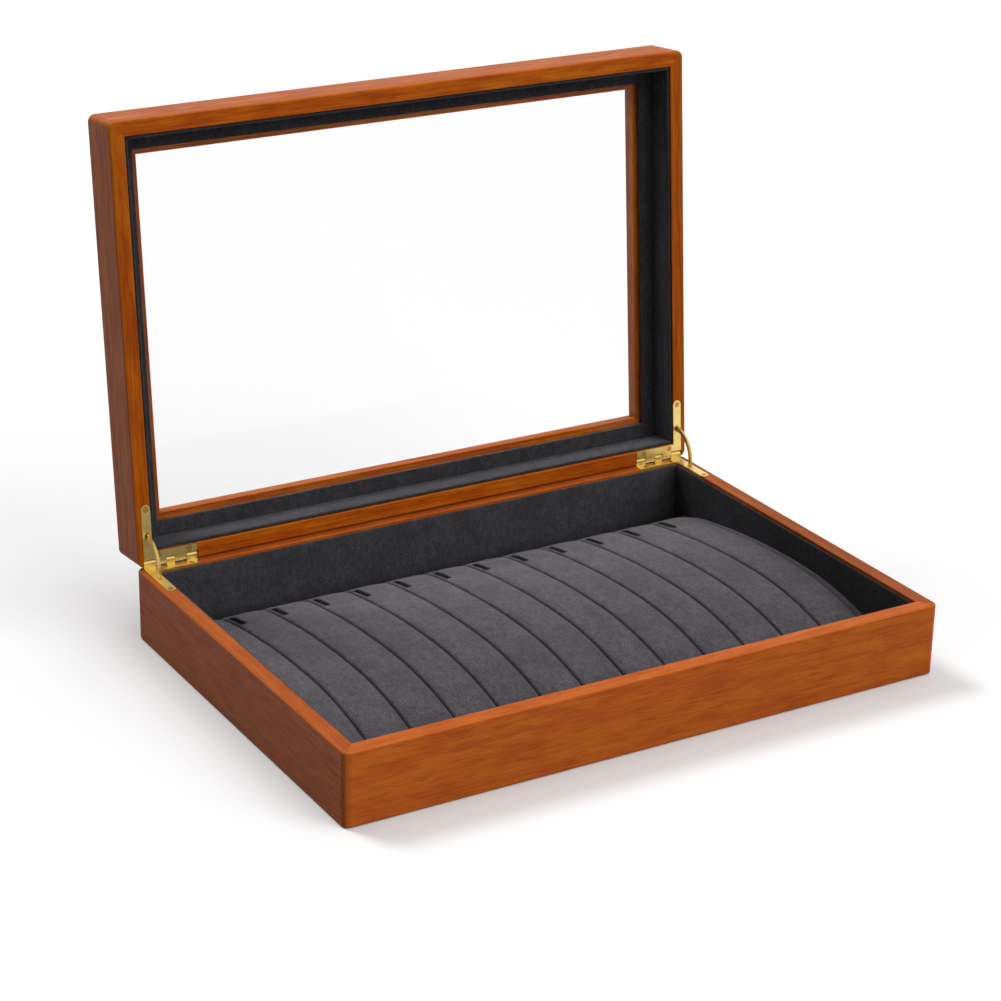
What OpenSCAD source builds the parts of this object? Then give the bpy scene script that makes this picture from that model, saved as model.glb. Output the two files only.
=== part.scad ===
// Glass-lidded wooden display box with an arched, slotted suede pad.
// Origin at the centre of the underside, +X to the right, +Y to the hinge side, +Z up.
// The lid is drawn open, resting on the stops of its two quadrant hinges.

/* [Box] */
// Width over the wooden walls, left to right
box_w = 350; // [300:5:420]
// Depth over the wooden walls, front to back
box_d = 240; // [210:5:300]
// Height of the base
base_h = 40; // [38:1:60]
// Height of the lid
lid_h = 28; // [26:1:40]
// Thickness of the wooden walls
wall_t = 8.5; // [8.5:0.5:12]
// Radius of the upright outer corners
corner_r = 4; // [3:0.5:6]
// Radius of the eased outer edges
edge_r = 1.2; // [0.8:0.1:1.6]
// Radius of the eased inner edges
inner_edge_r = 0.5; // [0.3:0.1:0.8]

/* [Lid] */
// Angle between the open lid and the base
open_angle = 95; // [90:1:98]
// Gap between the two rims when the lid is shut
rim_gap = 0.4; // [0.3:0.1:0.8]
// Thickness of the frame round the window
frame_t = 7; // [5:0.5:9]
// Distance of the window's edge from the outer face
window_inset = 22.4; // [20:0.2:30]
// Thickness of the glass
glass_t = 2; // [1.5:0.5:3]
// Thickness of the suede-covered board that holds the glass
border_t = 2.5; // [1.5:0.5:4]
// Distance of that board's inner edge from the outer face
border_inset = 19; // [17:0.2:20]
// Gap round the edges of the glass and its board
glass_gap = 0.4; // [0.2:0.1:1]

/* [Base floor] */
// Thickness of the floor panel
floor_t = 3; // [2:0.5:5]
// Width of the rebate under the walls that takes the floor panel
rebate_w = 4; // [2.5:0.5:5]
// Gap between the floor panel and the rebate
floor_gap = 0.2; // [0.1:0.05:0.5]
// Thickness of the suede-covered card on the floor
bed_t = 1; // [0.5:0.5:2]
// Thickness of the felt under the floor
felt_t = 0.8; // [0.5:0.1:1.5]

/* [Linings] */
// Thickness of the suede-covered lining boards
lining_t = 1.7; // [1:0.1:2.5]
// Glue gap behind a lining board
lining_gap = 0.3; // [0.1:0.1:0.5]
// Depth of the lining's top edge below the base rim
base_lining_drop = 1.2; // [0.5:0.1:2]
// Depth of the lining's edge below the lid rim
lid_lining_drop = 0.8; // [0.5:0.1:2]
// Radius of the lining's free edge on the inner side
lining_edge_r = 0.7; // [0.4:0.1:0.8]
// Radius of the lining's free edge on the wall side
lining_back_r = 0.2; // [0.1:0.1:0.2]

/* [Pad] */
// Depth of the pad's crown below the base rim
crown_drop = 13.9; // [10:0.1:18]
// Distance of the crown forward of the box's centre
crown_forward = 14.5; // [0:0.5:25]
// Gap between the pad and the front lining, at the floor
front_foot_gap = 2; // [1:0.5:12]
// Distance from the back lining to where the pad's shoulder starts
shoulder_in = 26.5; // [24:0.5:34]
// Fall of the pad's top from its crown to the shoulder
shoulder_drop = 9.2; // [6:0.2:11]
// Radius of the shoulder
shoulder_r = 50; // [30:1:55]
// Angle by which the top turns down where the shoulder starts
shoulder_bend = 3; // [2:0.5:5]
// Thickness of the padded suede cover
cover_t = 2.2; // [2:0.1:3]
// Glue gap between the cover and the core
core_gap = 0.1; // [0.05:0.05:0.2]
// Gap between the pad and the side linings
pad_gap = 0.3; // [0.2:0.1:1]
// Spacing of the lanes
lane_pitch = 24.9; // [20:0.1:30]
// Width of the groove between two lanes
lane_groove_w = 1.6; // [1:0.1:2.5]
// Depth of the groove between two lanes
lane_groove_d = 1.4; // [0.8:0.1:1.6]
// Drop of the narrow strip beside the last lane
strip_drop = 0.9; // [0.2:0.1:1.4]

/* [Slots] */
// Length of a slot
slot_len = 16; // [10:0.5:20]
// Width of a slot
slot_w = 3; // [2:0.1:4]
// Radius of a slot's corners
slot_r = 0.8; // [0.4:0.1:1]
// Distance of a slot's centre line from the groove on its left
slot_off = 3.9; // [3.2:0.1:8]
// Distance from the back lining to a slot's far end
slot_in = 24.5; // [22:0.5:34]
// Depth of a slot in the pad's core
slot_depth = 6.5; // [3:0.5:7]

/* [Hinges] */
// Distance of the hinge axis from the back face
axis_in = 2; // [2:0.1:2.4]
// Height of the hinge axis above the base rim
axis_up = 2.8; // [2.8:0.1:3.2]
// Diameter of the hinge barrel
barrel_d = 3.8; // [3.4:0.1:3.8]
// Diameter of the hinge pin
pin_d = 1.8; // [1.5:0.1:2]
// Radial clearance of the pin
pin_play = 0.05; // [0.02:0.01:0.08]
// Gap between two knuckles
knuckle_gap = 0.3; // [0.2:0.1:0.5]
// Thickness of the brass leaves
leaf_t = 1.2; // [1:0.1:1.4]
// Distance of a leaf from the box's side
leaf_in = 3.2; // [3:0.1:4]
// Length of a leaf along the back rail
leaf_len = 30.8; // [28:0.2:40]
// Share of a leaf's length at its first screw
screw_first_share = 0.27; // [0.25:0.01:0.3]
// Share of a leaf's length at its second screw
screw_last_share = 0.85; // [0.8:0.01:0.88]
// Width of the leg along the side rail
leg_w = 5.2; // [4.8:0.1:5.2]
// Distance of the leg's end from the back face
leg_reach = 35; // [32:0.5:45]
// Diameter of the eye round the stay in the lid's leaf
eye_d = 3; // [2.6:0.1:3.4]
// Clearance of the leaves in their recesses
leaf_fit = 0.1; // [0.05:0.05:0.2]

/* [Stays] */
// Radius of the stay's centre line
stay_r = 16; // [15.5:0.1:17]
// Width of the stay across its curve
stay_w = 2.4; // [2:0.1:2.6]
// Thickness of the stay
stay_t = 1.2; // [1:0.1:1.4]
// Width of the stop at each end of the stay
stop_w = 4.4; // [4.2:0.1:4.6]
// Angle taken by the stop at each end
stop_angle = 5; // [4:1:6]
// Clearance on each side of the stay
stay_play = 0.3; // [0.2:0.05:0.4]
// Gap between a stop and its leaf when the lid is open
stop_play = 0.1; // [0.05:0.05:0.2]

/* [Screws] */
// Diameter of a screw's head
head_d = 3.4; // [3:0.1:3.6]
// Height of the countersunk head
head_h = 0.9; // [0.7:0.1:0.9]
// Diameter of a screw's shank
shank_d = 1.8; // [1.5:0.1:2]
// Length of a screw
screw_len = 9; // [6:0.5:12]
// Radial clearance of a screw in its hole
screw_play = 0.05; // [0.02:0.01:0.08]
// Length of the cross in a screw's head
cross_len = 2.3; // [1.8:0.1:2.6]
// Width of the cross in a screw's head
cross_w = 0.4; // [0.3:0.05:0.5]
// Depth of the cross in a screw's head
cross_h = 0.45; // [0.3:0.05:0.6]

/* [Hidden] */
$fn = 64;
arc_fn = 1440;

wood_red = "#a85a2a";
suede_grey = "#4b494c";
brass_gold = "#d8b04a";

eps = 0.01;
big = 600;
// How far a cutting shape runs past what it cuts
past = 1;

// Levels of the base and of the shut lid
floor_top = felt_t + floor_t;
bed_top = floor_top + bed_t;
lid_z = base_h + rim_gap;
frame_z = lid_z + lid_h - frame_t;
glass_z = frame_z - glass_t;
border_z = glass_z - border_t;

// Clear space inside the linings
lining_inset = wall_t + lining_gap + lining_t;
inner_w = box_w - 2 * lining_inset;
inner_d = box_d - 2 * lining_inset;
base_lining_h = base_h - base_lining_drop - bed_top;
lid_lining_h = border_z - lid_z - lid_lining_drop;

// Pad outline: a front arc and a back arc meet at the crown, and a shoulder ends the back arc
pad_w = inner_w - 2 * pad_gap;
pad_x0 = -pad_w / 2;
crown_y = -crown_forward;
crown_z = base_h - crown_drop;
front_foot_y = -inner_d / 2 + front_foot_gap;
crown_h = crown_z - bed_top;
front_run = crown_y - front_foot_y;
front_r = (front_run * front_run + crown_h * crown_h) / (2 * crown_h);
shoulder_y = inner_d / 2 - shoulder_in;
back_run = shoulder_y - crown_y;
back_r = (back_run * back_run + shoulder_drop * shoulder_drop) / (2 * shoulder_drop);
shoulder_tilt = asin(back_run / back_r) + shoulder_bend;
shoulder_cy = shoulder_y - shoulder_r * sin(shoulder_tilt);
shoulder_cz = crown_z - shoulder_drop - shoulder_r * cos(shoulder_tilt);
shoulder_lap = shoulder_r * sin(shoulder_bend);

// Lanes and slots
lane_n = floor(pad_w / lane_pitch);
slot_n = lane_n - 1;
slot_y = inner_d / 2 - slot_in - slot_len / 2;
slot_floor_z = crown_z - shoulder_drop - cover_t - slot_depth;

// Hinge axis, in the side view and in the part's frame
barrel_r = barrel_d / 2;
axis_y = box_d / 2 - axis_in;
axis_z = base_h + axis_up;
lid_axis_up = axis_up - rim_gap;
knuckle_n = 5;
knuckle_at = [0, 0.22, 0.42, 0.58, 0.8, 1];
leaf_edge = wall_t - leaf_fit;
riser_in = axis_in + barrel_r - leaf_t;
plate_in = axis_in + barrel_r + knuckle_gap;
notch_in = plate_in + 2 * leaf_fit;
notch_h = lid_axis_up + barrel_r + knuckle_gap;
leg_x = leaf_in + leg_w / 2;
screw_row = (plate_in + leaf_edge) / 2;
screw_first = leaf_in + screw_first_share * leaf_len;
screw_last = leaf_in + screw_last_share * leaf_len;
leg_screw = leg_reach - leg_w / 2;

// Angles about the hinge axis, from the front upwards, with the lid open
half_travel = open_angle / 2;
stay_reach = stay_r + stop_w / 2;
stay_inside = stay_r - stop_w / 2;
base_stop_at = -asin((axis_up + leaf_t + stop_play) / stay_inside);
lid_stop_at = open_angle - asin((lid_axis_up - leaf_t - stop_play) / stay_reach);
stay_from = base_stop_at - stop_angle;
stay_to = lid_stop_at + stop_angle;

// Mortises that take the stays when the lid is shut
mortise_w = stay_t + 2 * stay_play;
mortise_end = axis_in + stay_reach + stay_play;
base_mortise_start = axis_in + stay_inside * cos(half_travel - stay_from) - stay_play;
base_mortise_d = stay_reach * sin(half_travel - stay_from) - axis_up + stay_play;
lid_mortise_start = axis_in + stay_inside * cos(stay_to - half_travel) - stay_play;
lid_mortise_d = lid_axis_up + stay_reach * sin(stay_to - half_travel) + stay_play;
leaf_slot_in = sqrt(pow(stay_r - stay_w / 2, 2) - pow(axis_up + leaf_t, 2)) - 2 * stay_play;
leaf_slot_out = stay_r + stay_w / 2 + stay_play;

// ---- Shared shapes ----

// What rounding a square corner at the origin takes away
module corner_waste(r) {
    difference() {
        translate([-eps, -eps])
            square(r + eps);
        translate([r, r])
            circle(r);
    }
}

// A plain rectangle with its outer edges eased at x = 0, and its inner top edge too
module eased_section(w, h, low_r, high_r, inner_r) {
    difference() {
        square([w, h]);
        corner_waste(low_r);
        translate([0, h])
            mirror([0, 1])
                corner_waste(high_r);
        translate([w, h])
            rotate(180)
                corner_waste(inner_r);
    }
}

// Section of a base wall, outer face at x = 0
module base_section() {
    difference() {
        eased_section(wall_t, base_h, edge_r, edge_r, inner_edge_r);
        translate([wall_t - rebate_w, -past])
            square([rebate_w + past, floor_top + past]);
    }
}

// Section of a lid wall with its window frame, rim at y = 0
module lid_section() {
    difference() {
        union() {
            difference() {
                square([wall_t, lid_h]);
                translate([wall_t, 0])
                    mirror([1, 0])
                        corner_waste(inner_edge_r);
            }
            difference() {
                translate([0, lid_h - frame_t])
                    square([window_inset, frame_t]);
                translate([window_inset, lid_h])
                    rotate(180)
                        corner_waste(edge_r);
                translate([window_inset, lid_h - frame_t])
                    mirror([1, 0])
                        corner_waste(inner_edge_r);
            }
        }
        corner_waste(edge_r);
        translate([0, lid_h])
            mirror([0, 1])
                corner_waste(edge_r);
    }
}

// One mitred wall along +X from the origin, its outer face at y = 0, from a section
module mitred_rail(len, depth) {
    difference() {
        translate([corner_r, 0, 0])
            rotate([90, 0, 90])
                linear_extrude(len - 2 * corner_r)
                    children();
        for (end = [0, 1])
            translate([end * len, 0, 0])
                mirror([end, 0, 0])
                    mitre_waste(depth);
    }
    for (end = [0, 1])
        translate([end * len, 0, 0])
            mirror([end, 0, 0])
                rail_corner()
                    children();
}

// The half of a rounded corner that belongs to a wall along +X
module rail_corner() {
    translate([corner_r, corner_r, 0])
        rotate([0, 0, -90])
            mirror([0, 1, 0])
                rotate_extrude(angle = 45)
                    intersection() {
                        square([corner_r, big]);
                        translate([corner_r, 0])
                            mirror([1, 0])
                                children();
                    }
}

// Everything of a wall along +X that lies past its mitre, inside the rounded corner
module mitre_waste(depth) {
    translate([0, 0, -past])
        linear_extrude(big / 2)
            polygon([
                [corner_r - past, corner_r], [corner_r, corner_r],
                [depth + past, depth + past], [corner_r - past, depth + past]
            ]);
}

// Places a wall drawn along +X on one side of the box
module on_front() {
    translate([-box_w / 2, -box_d / 2, 0])
        children();
}

module on_back() {
    translate([box_w / 2, box_d / 2, 0])
        rotate([0, 0, 180])
            children();
}

module on_left() {
    translate([-box_w / 2, box_d / 2, 0])
        rotate([0, 0, -90])
            children();
}

module on_right() {
    translate([box_w / 2, -box_d / 2, 0])
        rotate([0, 0, 90])
            children();
}

// Swings what is drawn on the shut lid to its open rest
module opened() {
    translate([0, axis_y, axis_z])
        rotate([-open_angle, 0, 0])
            translate([0, -axis_y, -axis_z])
                children();
}

// Places what is drawn at a left hinge, x from the side face and y from the back face
module at_left_hinge() {
    translate([-box_w / 2, box_d / 2, 0])
        mirror([0, 1, 0])
            children();
}

module at_right_hinge() {
    mirror([1, 0, 0])
        at_left_hinge()
            children();
}

module at_both_hinges() {
    at_left_hinge()
        children();
    at_right_hinge()
        children();
}

// ---- Hinges, drawn with x from the side face and y from the back face ----

// Outline of an L-shaped leaf, grown by a clearance
module leaf_outline(start, grow) {
    translate([leaf_in - grow, start - grow])
        square([leaf_len + 2 * grow, leaf_edge - start + 2 * grow]);
    translate([leaf_in - grow, start])
        square([leg_w + 2 * grow, leg_screw - start]);
    translate([leg_x, leg_screw])
        circle(leg_w / 2 + grow);
}

// The slot in the leg that the stay runs through
module leaf_slot() {
    slot_width = stay_t + 2 * stay_play;
    for (y = [axis_in + leaf_slot_in + slot_width / 2, axis_in + leaf_slot_out - slot_width / 2])
        translate([leg_x, y])
            circle(slot_width / 2);
    translate([leg_x - slot_width / 2, axis_in + leaf_slot_in + slot_width / 2])
        square([slot_width, leaf_slot_out - leaf_slot_in - slot_width]);
}

// Puts a child at each of a leaf's three screws
module at_leaf_screws() {
    for (place = [[screw_first, screw_row], [screw_last, screw_row], [leg_x, leg_screw]])
        translate(place)
            children();
}

// A countersunk screw, head up, its top at z = 0
module screw(play) {
    translate([0, 0, -head_h])
        cylinder(h = head_h + play, r1 = shank_d / 2 + play, r2 = head_d / 2 + play);
    translate([0, 0, -screw_len])
        cylinder(h = screw_len - head_h + eps, r = shank_d / 2 + play);
}

// A screw with its point and the cross in its head
module finished_screw() {
    point_h = shank_d;
    difference() {
        union() {
            translate([0, 0, -head_h])
                cylinder(h = head_h, r1 = shank_d / 2, r2 = head_d / 2);
            translate([0, 0, point_h - screw_len])
                cylinder(h = screw_len - head_h - point_h, r = shank_d / 2);
            translate([0, 0, -screw_len])
                cylinder(h = point_h, r1 = shank_d / 8, r2 = shank_d / 2);
        }
        for (turn = [45, 135])
            rotate([0, 0, turn])
                translate([-cross_len / 2, -cross_w / 2, -cross_h])
                    cube([cross_len, cross_w, cross_h + past]);
    }
}

// Barrel pieces of one leaf, in the side view's frame at the hinge axis
module knuckles(first) {
    for (i = [first : 2 : knuckle_n - 1]) {
        from = leaf_in + knuckle_at[i] * leaf_len + (i > 0 ? knuckle_gap / 2 : 0);
        to = leaf_in + knuckle_at[i + 1] * leaf_len - (i < knuckle_n - 1 ? knuckle_gap / 2 : 0);
        translate([from, 0, 0])
            knuckle_length(to - from)
                children();
    }
}

// Extrudes a side view, drawn as (y from the back face, z), along the hinge
module knuckle_length(len) {
    rotate([90, 0, 90])
        linear_extrude(len)
            children();
}

module axis_at(z) {
    translate([axis_in, z])
        children();
}

module pin_hole(z) {
    translate([leaf_in - past, axis_in, z])
        rotate([0, 90, 0])
            cylinder(h = leaf_len + 2 * past, r = pin_d / 2 + pin_play);
}

module base_leaf() {
    difference() {
        union() {
            translate([0, 0, base_h - leaf_t])
                linear_extrude(leaf_t)
                    difference() {
                        leaf_outline(riser_in, 0);
                        leaf_slot();
                    }
            knuckles(0) {
                axis_at(axis_z)
                    circle(barrel_r);
                translate([riser_in, base_h - leaf_t])
                    square([leaf_t, leaf_t + axis_up]);
            }
        }
        pin_hole(axis_z);
        translate([0, 0, base_h])
            at_leaf_screws()
                screw(screw_play);
    }
}

module lid_leaf() {
    tab_z = axis_z - barrel_r;
    difference() {
        union() {
            translate([0, 0, lid_z])
                linear_extrude(leaf_t)
                    difference() {
                        leaf_outline(plate_in, 0);
                        leaf_slot();
                        translate([leg_x, axis_in + (leaf_slot_in + leaf_slot_out) / 2])
                            circle(eye_d / 2);
                    }
            knuckles(1) {
                axis_at(axis_z)
                    circle(barrel_r);
                translate([axis_in, tab_z])
                    square([plate_in + leaf_fit - axis_in, leaf_t]);
            }
        }
        pin_hole(axis_z);
        translate([0, 0, lid_z])
            mirror([0, 0, 1])
                at_leaf_screws()
                    screw(screw_play);
    }
}

// Recess, screw holes and mortise for a hinge in the base walls
module base_hinge_waste() {
    at_both_hinges() {
        translate([0, 0, base_h - leaf_t])
            linear_extrude(leaf_t + past)
                leaf_outline(riser_in, leaf_fit);
        translate([leaf_in - leaf_fit, wall_t - past, base_h - leaf_t])
            cube([leaf_len + 2 * leaf_fit, 2 * past, leaf_t + past]);
        translate([leg_x, leg_w, base_h - leaf_t])
            cube([wall_t - leg_x + past, leg_screw - leg_w, leaf_t + past]);
        translate([0, 0, base_h])
            at_leaf_screws()
                screw(screw_play);
        translate([leg_x - mortise_w / 2, base_mortise_start, base_h - base_mortise_d])
            cube([mortise_w, mortise_end - base_mortise_start, base_mortise_d + past]);
    }
}

// Recess, barrel notch, screw holes and mortise for a hinge in the lid walls
module lid_hinge_waste() {
    at_both_hinges() {
        translate([0, 0, lid_z - past])
            linear_extrude(leaf_t + past)
                leaf_outline(plate_in, leaf_fit);
        translate([leaf_in - leaf_fit, wall_t - past, lid_z - past])
            cube([leaf_len + 2 * leaf_fit, 2 * past, leaf_t + past]);
        translate([leg_x, leg_w, lid_z - past])
            cube([wall_t - leg_x + past, leg_screw - leg_w, leaf_t + past]);
        translate([leaf_in - knuckle_gap, -past, lid_z - past])
            cube([leaf_len + 2 * knuckle_gap, notch_in + past, notch_h + past]);
        translate([0, 0, lid_z])
            mirror([0, 0, 1])
                at_leaf_screws()
                    screw(screw_play);
        translate([leg_x - mortise_w / 2, lid_mortise_start, lid_z - past])
            cube([mortise_w, mortise_end - lid_mortise_start, lid_mortise_d + past]);
    }
}

// ---- Base ----

module base_rail(len) {
    color(wood_red)
        mitred_rail(len, wall_t)
            base_section();
}

module base_rail_front() {
    on_front()
        base_rail(box_w);
}

module base_rail_back() {
    difference() {
        on_back()
            base_rail(box_w);
        base_hinge_waste();
    }
}

module base_rail_left() {
    difference() {
        on_left()
            base_rail(box_d);
        base_hinge_waste();
    }
}

module base_rail_right() {
    mirror([1, 0, 0])
        base_rail_left();
}

// A sheet that fills the rebate under the walls, between two levels
module rebate_sheet(from, to) {
    sheet_w = box_w - 2 * (wall_t - rebate_w + floor_gap);
    sheet_d = box_d - 2 * (wall_t - rebate_w + floor_gap);
    translate([-sheet_w / 2, -sheet_d / 2, from])
        cube([sheet_w, sheet_d, to - from]);
}

module floor_panel() {
    color("#8a6b4a")
        rebate_sheet(felt_t, floor_top);
}

module floor_lining() {
    bed_w = box_w - 2 * (wall_t + lining_gap);
    bed_d = box_d - 2 * (wall_t + lining_gap);
    color(suede_grey)
        translate([-bed_w / 2, -bed_d / 2, floor_top])
            cube([bed_w, bed_d, bed_t]);
}

module underside_felt() {
    color("#232325")
        rebate_sheet(0, felt_t);
}

// Section of a lining board, wall side at x = 0, with its free edge rounded
module lining_section(h) {
    difference() {
        square([lining_t, h]);
        translate([lining_t, h])
            rotate(180)
                corner_waste(lining_edge_r);
        translate([0, h])
            mirror([0, 1])
                corner_waste(lining_back_r);
    }
}

// A lining board along +X, centred, standing on z = 0, its wall side at y = 0
module lining_board(len, h) {
    color(suede_grey)
        translate([-len / 2, 0, 0])
            rotate([90, 0, 90])
                linear_extrude(len)
                    lining_section(h);
}

// Long boards run the full inner width, short boards fit between them
module front_lining(h) {
    translate([0, -box_d / 2 + wall_t + lining_gap, 0])
        lining_board(box_w - 2 * (wall_t + lining_gap), h);
}

module side_lining(h) {
    translate([-box_w / 2 + wall_t + lining_gap, 0, 0])
        rotate([0, 0, -90])
            lining_board(inner_d, h);
}

// Stands a lining on the floor's card
module base_lining() {
    translate([0, 0, bed_top])
        children();
}

module base_lining_front() {
    base_lining()
        front_lining(base_lining_h);
}

module base_lining_back() {
    mirror([0, 1, 0])
        base_lining_front();
}

module base_lining_left() {
    base_lining()
        side_lining(base_lining_h);
}

module base_lining_right() {
    mirror([1, 0, 0])
        base_lining_left();
}

// ---- Pad ----

// Side view of the pad below its top surface, sunk by a depth, as (y, z)
module pad_section(sink) {
    pad_arc(crown_y, crown_z - front_r, front_r - sink)
        pad_side(-box_d / 2, crown_y);
    pad_arc(crown_y, crown_z - back_r, back_r - sink) {
        pad_side(crown_y, shoulder_y - shoulder_lap);
        pad_arc(shoulder_cy, shoulder_cz, shoulder_r - sink)
            pad_side(crown_y, box_d / 2);
    }
}

// What lies under one arc
module pad_arc(y, z, r) {
    intersection() {
        translate([y, z])
            circle(r, $fn = arc_fn);
        union()
            children();
    }
}

// A stretch of the side view, from the floor's card to above the crown
module pad_side(from, to) {
    translate([from, bed_top])
        square([to - from, crown_z + past - bed_top]);
}

// Extrudes a side view over a stretch of the pad's width
module pad_stretch(from, to) {
    translate([from, 0, 0])
        rotate([90, 0, 90])
            linear_extrude(to - from)
                children();
}

function groove_x(k) = pad_x0 + (k + 1) * lane_pitch;

module slot_waste() {
    for (k = [0 : slot_n - 1])
        translate([groove_x(k) + slot_off, slot_y, slot_floor_z])
            linear_extrude(big)
                slot_outline();
}

module slot_outline() {
    translate([-slot_w / 2, slot_r - slot_len / 2])
        square([slot_w, slot_len - 2 * slot_r]);
    translate([slot_r - slot_w / 2, -slot_len / 2])
        square([slot_w - 2 * slot_r, slot_len]);
    for (sx = [-1, 1], sy = [-1, 1])
        translate([sx * (slot_w / 2 - slot_r), sy * (slot_len / 2 - slot_r)])
            circle(slot_r);
}

module pad_core() {
    color("#3a393b")
        difference() {
            pad_stretch(pad_x0, -pad_x0)
                pad_section(cover_t + core_gap);
            slot_waste();
        }
}

module pad_cover() {
    color(suede_grey)
        difference() {
            union() {
                pad_stretch(pad_x0, -pad_x0)
                    pad_section(max(lane_groove_d, strip_drop));
                for (k = [0 : lane_n - 1])
                    pad_stretch(groove_x(k - 1) + (k > 0 ? lane_groove_w / 2 : 0), groove_x(k) - lane_groove_w / 2)
                        pad_section(0);
                pad_stretch(groove_x(lane_n - 1) + lane_groove_w / 2, -pad_x0)
                    pad_section(strip_drop);
            }
            pad_stretch(pad_x0 - past, past - pad_x0)
                pad_section(cover_t);
            slot_waste();
        }
}

// ---- Base hinge parts ----

module hinge_base_leaf_left() {
    color(brass_gold)
        at_left_hinge()
            base_leaf();
}

module hinge_base_leaf_right() {
    color(brass_gold)
        at_right_hinge()
            base_leaf();
}

module hinge_pin() {
    color(brass_gold)
        translate([leaf_in, axis_in, axis_z])
            rotate([0, 90, 0])
                cylinder(h = leaf_len, r = pin_d / 2);
}

module hinge_pin_left() {
    at_left_hinge()
        hinge_pin();
}

module hinge_pin_right() {
    at_right_hinge()
        hinge_pin();
}

module base_hinge_screws() {
    color(brass_gold)
        at_both_hinges()
            translate([0, 0, base_h])
                at_leaf_screws()
                    finished_screw();
}

// ---- Lid ----

module lid_rail(len) {
    color(wood_red)
        translate([0, 0, lid_z])
            mitred_rail(len, window_inset)
                lid_section();
}

module lid_rail_front() {
    opened()
        on_front()
            lid_rail(box_w);
}

module lid_rail_back() {
    opened()
        difference() {
            on_back()
                lid_rail(box_w);
            lid_hinge_waste();
        }
}

module lid_rail_left() {
    opened()
        difference() {
            on_left()
                lid_rail(box_d);
            lid_hinge_waste();
        }
}

module lid_rail_right() {
    mirror([1, 0, 0])
        lid_rail_left();
}

module glass_pane() {
    pane_w = box_w - 2 * (wall_t + glass_gap);
    pane_d = box_d - 2 * (wall_t + glass_gap);
    color("#dfe9ea", 0.35)
        opened()
            translate([-pane_w / 2, -pane_d / 2, glass_z])
                cube([pane_w, pane_d, glass_t]);
}

module glass_border() {
    outer_w = box_w - 2 * (wall_t + glass_gap);
    outer_d = box_d - 2 * (wall_t + glass_gap);
    hole_w = box_w - 2 * border_inset;
    hole_d = box_d - 2 * border_inset;
    color(suede_grey)
        opened()
            difference() {
                translate([-outer_w / 2, -outer_d / 2, border_z])
                    cube([outer_w, outer_d, border_t]);
                translate([-hole_w / 2, -hole_d / 2, border_z - past])
                    cube([hole_w, hole_d, border_t + 2 * past]);
            }
}

// Stands a lining on the border's face, its free edge towards the lid's rim
module lid_lining() {
    opened()
        translate([0, 0, border_z])
            mirror([0, 0, 1])
                children();
}

module lid_lining_front() {
    lid_lining()
        front_lining(lid_lining_h);
}

module lid_lining_back() {
    lid_lining()
        mirror([0, 1, 0])
            front_lining(lid_lining_h);
}

module lid_lining_left() {
    lid_lining()
        side_lining(lid_lining_h);
}

module lid_lining_right() {
    mirror([1, 0, 0])
        lid_lining_left();
}

module hinge_lid_leaf_left() {
    color(brass_gold)
        opened()
            at_left_hinge()
                lid_leaf();
}

module hinge_lid_leaf_right() {
    mirror([1, 0, 0])
        hinge_lid_leaf_left();
}

module lid_hinge_screws() {
    color(brass_gold)
        opened()
            at_both_hinges()
                translate([0, 0, lid_z])
                    mirror([0, 0, 1])
                        at_leaf_screws()
                            finished_screw();
}

// ---- Stays ----

// A quadrant between two angles about the hinge axis, from the front upwards
module quadrant(from, to, width) {
    rotate([0, 0, from])
        rotate_extrude(angle = to - from)
            translate([stay_r - width / 2, -stay_t / 2])
                square([width, stay_t]);
}

module stay() {
    translate([leg_x, axis_in, axis_z])
        rotate([90, 0, 90])
            union() {
                quadrant(stay_from, stay_to, stay_w);
                quadrant(stay_from, base_stop_at, stop_w);
                quadrant(lid_stop_at, stay_to, stop_w);
            }
}

module stay_left() {
    color(brass_gold)
        at_left_hinge()
            stay();
}

module stay_right() {
    color(brass_gold)
        at_right_hinge()
            stay();
}

base_rail_front();
base_rail_back();
base_rail_left();
base_rail_right();
floor_panel();
floor_lining();
underside_felt();
base_lining_front();
base_lining_back();
base_lining_left();
base_lining_right();
pad_core();
pad_cover();
hinge_base_leaf_left();
hinge_base_leaf_right();
hinge_pin_left();
hinge_pin_right();
base_hinge_screws();
lid_rail_front();
lid_rail_back();
lid_rail_left();
lid_rail_right();
glass_pane();
glass_border();
lid_lining_front();
lid_lining_back();
lid_lining_left();
lid_lining_right();
hinge_lid_leaf_left();
hinge_lid_leaf_right();
lid_hinge_screws();
stay_left();
stay_right();
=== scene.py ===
"""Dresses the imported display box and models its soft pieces.

The wooden rails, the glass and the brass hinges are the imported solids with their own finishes.
The suede pad, the suede-covered boards and the felt are modelled here and stand for their solids.
"""

from __future__ import annotations

import logging
import math
from bisect import bisect
from collections.abc import Callable, Sequence
from dataclasses import dataclass, field, replace
from enum import Enum
from typing import NamedTuple

import bmesh
import bpy
from mathutils import Matrix, Vector, noise


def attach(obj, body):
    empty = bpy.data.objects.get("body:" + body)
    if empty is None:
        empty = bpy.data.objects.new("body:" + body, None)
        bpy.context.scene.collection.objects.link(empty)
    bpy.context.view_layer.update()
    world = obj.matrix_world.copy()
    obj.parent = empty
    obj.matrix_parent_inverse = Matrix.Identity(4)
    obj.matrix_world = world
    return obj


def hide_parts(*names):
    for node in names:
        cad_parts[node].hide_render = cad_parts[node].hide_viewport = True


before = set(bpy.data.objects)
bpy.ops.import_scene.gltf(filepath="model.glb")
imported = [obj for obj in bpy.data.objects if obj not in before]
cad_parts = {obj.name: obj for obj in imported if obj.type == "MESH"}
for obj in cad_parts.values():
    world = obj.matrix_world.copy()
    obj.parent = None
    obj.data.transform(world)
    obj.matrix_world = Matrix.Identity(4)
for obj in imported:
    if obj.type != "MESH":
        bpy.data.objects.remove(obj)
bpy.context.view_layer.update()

LOG = logging.getLogger("display_box")
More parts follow.
